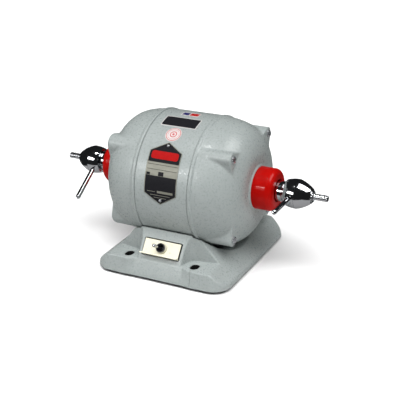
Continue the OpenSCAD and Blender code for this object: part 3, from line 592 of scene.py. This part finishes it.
def base_hollow(x, y, z, r):
    """Distance from the inside: the hollow between the posts, the cover's seat and the holes."""
    from_gland = np.hypot(x, z - GLAND_Z)
    kept = [pocket(x, y, z, BASE_WALL), r - FRAME_R - BASE_WALL,
            post(x, y, (SLOT_X, SLOT_Y), SLOT_POST_R), post(x, y, FOOT_PLACE, FOOT_POST_R),
            post(x, y, COVER_SCREW_PLACE, COVER_POST_R),
            np.maximum(from_gland - GLAND_BOSS_R, GLAND_BOSS_Y - GLAND_BOSS_DEPTH - y)]
    hollow = np.maximum(base_shape(x, y, z, BASE_WALL, CAVITY_EDGE), -np.minimum.reduce(kept))
    below_hole_top = z - SCREW_HOLE_TOP
    panel = front_panel(-y, z, 0)[1]
    up_panel = ((z - PANEL_MIDDLE[1]) * math.sin(PANEL_SLOPE)
                + (y - PANEL_MIDDLE[0]) * math.cos(PANEL_SLOPE))
    opening = np.maximum(np.abs(x) - SWITCH_OPENING[0], np.abs(up_panel) - SWITCH_OPENING[1])
    cuts = [hollow, np.maximum(plan_distance(x, y, z, COVER_INSET), z - COVER_TOP),
            from_gland + np.maximum(GLAND_WAY_Y - y, 0) - GLAND_R,
            np.maximum(post(x, y, FOOT_PLACE, FOOT_HOLE_R), below_hole_top),
            np.maximum(post(x, y, COVER_SCREW_PLACE, COVER_HOLE_R), below_hole_top),
            np.maximum(np.hypot(np.abs(x) - CRADLE_BOLT_X, y) - CRADLE_BOLT_R, z - AXIS_Z),
            np.maximum(opening, np.abs(panel) - SWITCH_CUT)]
    return np.minimum.reduce(cuts)


def base_field(x, y, z):
    """The whole base casting."""
    r = np.hypot(y, z - AXIS_Z)
    shape = base_bosses(x, y, z, base_shape(x, y, z, 0, BASE_EDGE))
    shape = soft_max(shape, -pocket(x, y, z, 0), POCKET_EDGE)
    shape = soft_max(shape, -base_saddle(x, r, z), SADDLE_EDGE)
    shape = soft_max(shape, -base_hollow(x, y, z, r), HOLLOW_EDGE)
    shape = soft_max(shape, -slots(x, y), SLOT_EDGE)
    return soft_max(shape, FOOT_Z - z, FOOT_EDGE)


def make_base():
    low = [v - 2 * BASE_CELL for v in BASE_LOW]
    high = [v + 2 * BASE_CELL for v in BASE_HIGH]
    base = cast_mesh("cast_base", base_field, low, high, BASE_CELL)
    dress(base, "enamel")
    # The walls of the mounting slots are in deep shade
    shade = node_material("slot_shade", (0.008, 0.008, 0.008), 0.9, specular=0.05)
    base.data.materials.append(shade)
    for face in base.data.polygons:
        x, y, z = (v / MM for v in face.center)
        if abs(slots(x, y)) < SLOT_WALL_REACH and z < PAD_Z - SLOT_RIM:
            face.material_index = 1
    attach(base, "housing")
    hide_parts("base_casting")


make_base()

# ---- Plate and labels: thin sheets bent round the frame ----
# Places up the frame are angles above the horizontal, in degrees, as seen along the spindle
PLATE_SEGMENT = math.radians(1.5)
NAMEPLATE_LOW, NAMEPLATE_HIGH = -5.8, 49.6
NAMEPLATE_MID = (NAMEPLATE_LOW + NAMEPLATE_HIGH) / 2
# Where the pointed ends of the nameplate begin, and half its width
SIDE_LOW, SIDE_HIGH = 3.4, 40.7
NAMEPLATE_HALF = 22.0
# How much further than a side the tips and the shoulders move when the outline is drawn in
TIP_INSET, SHOULDER_INSET = 1.1, 0.6
INK_BORDER = 0.9
NAMEPLATE_T = 0.5
INK_T = 0.06
LABEL_T = 0.12
ARC_STEPS = 5
DISC_SEGMENTS = 56
# Paint runs down to this share of its colour
PAINT_DARK = 0.88
ROUND_LABEL_MID, LONG_LABEL_MID, SMALL_LABEL_MID = 58.0, 74.0, 90.0
# Outer and inner radius of the rings on the round label, and its dot
LABEL_RINGS = ((9.7, 8.9), (7.4, 7.0), (4.6, 3.4))
LABEL_DISC_R, LABEL_DOT_R = 10.5, 1.6


def flat_paint(name, colour, roughness):
    """Printing ink or paper, nearly without gloss."""
    material = node_material(name, colour, roughness, specular=0.03)
    dark = tuple(PAINT_DARK * c for c in colour)
    vary_colour(material, noise(material, 220, 3), dark, colour)
    bump(material, noise(material, 1500, 2), 0.12, 0.00005)
    return material


INKS = {
    "ink_black": flat_paint("ink_black", (0.012, 0.012, 0.014), 0.3),
    "ink_red": flat_paint("ink_red", (0.32, 0.008, 0.008), 0.32),
    "ink_blue": flat_paint("ink_blue", (0.02, 0.02, 0.09), 0.35),
    "ink_pink": flat_paint("ink_pink", (0.42, 0.06, 0.06), 0.4),
    "paper_white": flat_paint("paper_white", (0.52, 0.5, 0.49), 0.4),
    "plate_silver": MATERIALS["nameplate_sheet"],
}


def up_plate(angle, middle=NAMEPLATE_MID):
    """Distance up a sheet, along the flat, of an angle above the horizontal."""
    return FRAME_R * math.sin(math.radians(angle - middle))


def rounded(points, radius):
    """A polygon with its corners rounded."""
    out = []
    count = len(points)
    for i, corner in enumerate(points):
        corner, before, after = (Vector(points[j % count]) for j in (i, i - 1, i + 1))
        to_before, to_after = (before - corner).normalized(), (after - corner).normalized()
        half = to_before.angle(to_after) / 2
        centre = corner + (to_before + to_after).normalized() * radius / math.sin(half)
        start = corner + to_before * radius / math.tan(half) - centre
        end = corner + to_after * radius / math.tan(half) - centre
        for k in range(ARC_STEPS + 1):
            arm = start.lerp(end, k / ARC_STEPS).normalized() * radius
            out.append(tuple(centre + arm))
    return out


def disc(radius):
    """A round outline about the middle of a sheet."""
    turns = [2 * math.pi * i / DISC_SEGMENTS for i in range(DISC_SEGMENTS)]
    return [(radius * math.cos(turn), radius * math.sin(turn)) for turn in turns]


def box_outline(x0, x1, low, high, middle):
    """Corners of a rectangle between two angles."""
    return [(x0, up_plate(low, middle)), (x1, up_plate(low, middle)),
            (x1, up_plate(high, middle)), (x0, up_plate(high, middle))]


def bent_sheet(name, outline, middle, lift, thickness, ink, hole=None):
    """A sheet bent round the frame. Its outline is in millimetres along the spindle and up."""
    mesh = bmesh.new()
    rim = [mesh.verts.new((x, up, 0)) for x, up in outline]
    if hole:
        inner = [mesh.verts.new((x, up, 0)) for x, up in hole]
        count = len(rim)
        for i in range(count):
            mesh.faces.new((rim[i], rim[(i + 1) % count], inner[(i + 1) % count], inner[i]))
    else:
        mesh.faces.new(rim)
    low, high = min(up for _, up in outline), max(up for _, up in outline)
    step = FRAME_R * PLATE_SEGMENT
    for i in range(1, int((high - low) / step) + 1):
        geometry = mesh.verts[:] + mesh.edges[:] + mesh.faces[:]
        fold = (0, low + i * step, 0)
        bmesh.ops.bisect_plane(mesh, geom=geometry, plane_co=fold, plane_no=(0, 1, 0))
    top = bmesh.ops.extrude_face_region(mesh, geom=mesh.faces[:])["geom"]
    for item in top:
        if isinstance(item, bmesh.types.BMVert):
            item.co.z = thickness
    for vertex in mesh.verts:
        angle = math.radians(middle) + math.asin(vertex.co.y / FRAME_R)
        radius = FRAME_R + lift + vertex.co.z
        forward, height = radius * math.cos(angle), AXIS_Z + radius * math.sin(angle)
        vertex.co = Vector((vertex.co.x, -forward, height)) * MM
    bmesh.ops.recalc_face_normals(mesh, faces=mesh.faces[:])
    data = bpy.data.meshes.new(name)
    mesh.to_mesh(data)
    mesh.free()
    data.materials.append(INKS[ink])
    piece = bpy.data.objects.new(name, data)
    bpy.context.scene.collection.objects.link(piece)
    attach(piece, "housing")


def plate_end(cut, upper):
    """The nameplate's upper or lower end inside its bare border, up to a level cut."""
    half = NAMEPLATE_HALF - INK_BORDER
    tip, shoulder = INK_BORDER * TIP_INSET, INK_BORDER * SHOULDER_INSET
    cut_up = up_plate(cut)
    if upper:
        side = up_plate(SIDE_HIGH) - shoulder
        point = (0, up_plate(NAMEPLATE_HIGH) - tip)
        return [(half, side), point, (-half, side), (-half, cut_up), (half, cut_up)]
    side = up_plate(SIDE_LOW) + shoulder
    point = (0, up_plate(NAMEPLATE_LOW) + tip)
    return [(-half, side), point, (half, side), (half, cut_up), (-half, cut_up)]


def make_nameplate():
    """Ink fields on the bare metal sheet, with blank bars and rules where a plate has words."""
    ink_lift = NAMEPLATE_T
    bar_lift = NAMEPLATE_T + INK_T

    def ink(name, outline, colour, lift=ink_lift):
        bent_sheet(name, outline, NAMEPLATE_MID, lift, INK_T, colour)

    def bar(name, x0, x1, low, high, colour, lift=bar_lift):
        ink(name, box_outline(x0, x1, low, high, NAMEPLATE_MID), colour, lift)

    ink("plate_upper_field", plate_end(30.6, True), "ink_black")
    ink("plate_lower_field", plate_end(19.0, False), "ink_black")
    band = box_outline(-18.5, 18.5, 33.4, 40.4, NAMEPLATE_MID)
    ink("plate_red_band", rounded(band, 3.2), "ink_red", bar_lift)
    bar("plate_rule_top", -20.5, 20.5, 28.4, 28.75, "ink_black", ink_lift)
    bar("plate_rule_middle", -20.5, 20.5, 24.2, 24.55, "ink_black", ink_lift)
    bar("plate_centre_column", -4.2, 3.0, 19.2, 22.8, "ink_black", ink_lift)
    bar("plate_left_stub", -20.5, -15.5, 19.2, 21.4, "ink_black", ink_lift)
    bar("plate_entry_bar", -4.0, 17.5, 4.6, 6.6, "plate_silver")
    for i, (x0, x1, low) in enumerate(((-17.5, -6.5, 5.2), (-13.5, 13.5, 2.4), (-8.5, 8.5, 0.2))):
        bar(f"plate_rule_{i}", x0, x1, low, low + 0.45, "plate_silver")


def make_labels():
    """A round label, a long black one, and a small one in two colours."""
    middle = ROUND_LABEL_MID
    bent_sheet("round_label", disc(LABEL_DISC_R), middle, 0, LABEL_T, "paper_white")
    for i, (outer, inner) in enumerate(LABEL_RINGS):
        bent_sheet(f"round_label_ring_{i}", disc(outer), middle, LABEL_T, INK_T, "ink_pink",
                   disc(inner))
    bent_sheet("round_label_dot", disc(LABEL_DOT_R), middle, LABEL_T, INK_T, "ink_pink")
    middle = LONG_LABEL_MID
    edge = box_outline(-24.3, 24.3, 66.9, 81.1, middle)
    bent_sheet("long_label", rounded(edge, 1.5), middle, 0, LABEL_T, "paper_white")
    field = [(x - math.copysign(INK_BORDER, x), up - math.copysign(INK_BORDER, up))
             for x, up in edge]
    bent_sheet("long_label_field", rounded(field, 1.0), middle, LABEL_T, INK_T, "ink_black")
    middle = SMALL_LABEL_MID
    edge = box_outline(-10, 14, 86, 94, middle)
    bent_sheet("small_label", rounded(edge, 0.8), middle, 0, LABEL_T, "paper_white")
    for side, x0, x1, colour in (("left", -8.9, 0.2, "ink_blue"), ("right", 1.4, 12.9, "ink_red")):
        field = box_outline(x0, x1, 86.9, 93.1, middle)
        bent_sheet(f"small_label_{side}", field, middle, LABEL_T, INK_T, colour)


make_nameplate()
make_labels()

# ---- Floor, light and camera ----

FLOOR_SIZE = 24
FLOOR_COLOUR, CARD_COLOUR = (0.8, 0.8, 0.8), (0.3, 0.3, 0.3)
CARD_SIZE = (0.6, 0.42, 1)
CARD_Z = 0.0005
WORLD_COLOUR, WORLD_STRENGTH = (0.9, 0.95, 1, 1), 0.02
# Name, azimuth to the right of the front, height and strength
SUN_WIDTH = 40
SUNS = (("key_left", -60, 55, 1.45), ("key_right", 60, 55, 2.8), ("front", 0, 64, 2.1))
# Name, place, size and watts; each one points at LIGHT_TARGET
LIGHT_TARGET = Vector((0, 0, 0.1))
AREA_LIGHTS = (("softbox", (-0.62, -1.28, 0.62), (0.7, 0.42), 4),
               ("strip", (-0.62, -1.24, 0.74), (0.5, 0.05), 5),
               ("sparkle", (-0.3, -0.5, 1.9), (0.25, 0.25), 9),
               ("side_box", (0.95, 0.15, 1.6), (1.3, 1.0), 30))


def stage_plane(name, size, height, material):
    """A level square of the stage."""
    bpy.ops.mesh.primitive_plane_add(size=size, location=(0, 0, height))
    plane = bpy.context.object
    plane.name = name
    plane.data.materials.append(material)
    return plane


def make_stage():
    """A pale floor for the camera, and what polished metal sees of it."""
    floor_white = node_material("floor_white", FLOOR_COLOUR, 0.75, specular=0.0)
    floor = stage_plane("floor", FLOOR_SIZE, 0, floor_white)
    floor.visible_glossy = False
    # Polished metal mirrors a small grey card in place of the wide floor
    card_grey = node_material("card_grey", CARD_COLOUR, 0.9, specular=0.0)
    card = stage_plane("mirror_card", 1, CARD_Z, card_grey)
    card.scale = CARD_SIZE
    card.visible_camera = False
    card.visible_diffuse = False
    card.visible_shadow = False


def make_world():
    """A dark studio, so that polished metal has something dark to mirror."""
    world = bpy.data.worlds.new("studio")
    bpy.context.scene.world = world
    world.use_nodes = True
    background = world.node_tree.nodes["Background"]
    background.inputs["Color"].default_value = WORLD_COLOUR
    background.inputs["Strength"].default_value = WORLD_STRENGTH


def soft_sun(name, azimuth, height, strength):
    """Even light from a wide patch of the sky, which polished metal doesn't mirror."""
    data = bpy.data.lights.new(name, "SUN")
    data.energy = strength
    data.angle = math.radians(SUN_WIDTH)
    light = bpy.data.objects.new(name, data)
    turn, lift = math.radians(azimuth), math.radians(height)
    flat = math.cos(lift)
    towards = Vector((math.sin(turn) * flat, -math.cos(turn) * flat, math.sin(lift)))
    light.rotation_euler = towards.to_track_quat("Z", "Y").to_euler()
    light.visible_glossy = False
    bpy.context.scene.collection.objects.link(light)


def area_light(name, place, size, watts):
    """A lamp for gloss and reflections alone."""
    data = bpy.data.lights.new(name, "AREA")
    data.shape = "RECTANGLE"
    data.size, data.size_y = size
    data.energy = watts
    light = bpy.data.objects.new(name, data)
    light.location = place
    light.rotation_euler = (Vector(place) - LIGHT_TARGET).to_track_quat("Z", "Y").to_euler()
    light.visible_camera = False
    light.visible_diffuse = False
    bpy.context.scene.collection.objects.link(light)


# Camera: fitted to the photograph, with the focal length in pixels of a 400-pixel frame
CAMERA_AZIMUTH = math.radians(27.41)
CAMERA_HEIGHT_ANGLE = math.radians(23.18)
CAMERA_ROLL = math.radians(-1.14)
CAMERA_DISTANCE = 1.22691
CAMERA_SIDE_STEP = 0.01106
CAMERA_DROP = -0.02405
CAMERA_TARGET = Vector((0, 0, 0.1))
FOCAL_PIXELS = 951.61
PHOTO_PIXELS = 400
SENSOR_WIDTH = 36


def make_camera():
    """The photograph's own view, as a turn about the target and a small step in the picture."""
    flat = math.cos(CAMERA_HEIGHT_ANGLE)
    back = Vector((math.sin(CAMERA_AZIMUTH) * flat, -math.cos(CAMERA_AZIMUTH) * flat,
                   math.sin(CAMERA_HEIGHT_ANGLE)))
    level = Vector((math.cos(CAMERA_AZIMUTH), math.sin(CAMERA_AZIMUTH), 0))
    upright = back.cross(level)
    right = level * math.cos(CAMERA_ROLL) + upright * math.sin(CAMERA_ROLL)
    up = upright * math.cos(CAMERA_ROLL) - level * math.sin(CAMERA_ROLL)
    data = bpy.data.cameras.new("camera")
    data.sensor_width = SENSOR_WIDTH
    data.lens = FOCAL_PIXELS * SENSOR_WIDTH / PHOTO_PIXELS
    data.clip_start = 0.05
    camera = bpy.data.objects.new("camera", data)
    turn = Matrix((right, up, back)).transposed().to_4x4()
    place = CAMERA_TARGET + back * CAMERA_DISTANCE + right * CAMERA_SIDE_STEP + up * CAMERA_DROP
    camera.matrix_world = Matrix.Translation(place) @ turn
    bpy.context.scene.collection.objects.link(camera)
    bpy.context.scene.camera = camera


make_stage()
make_world()
for sun in SUNS:
    soft_sun(*sun)
for lamp in AREA_LIGHTS:
    area_light(*lamp)
make_camera()
bpy.context.scene.view_settings.view_transform = "Standard"
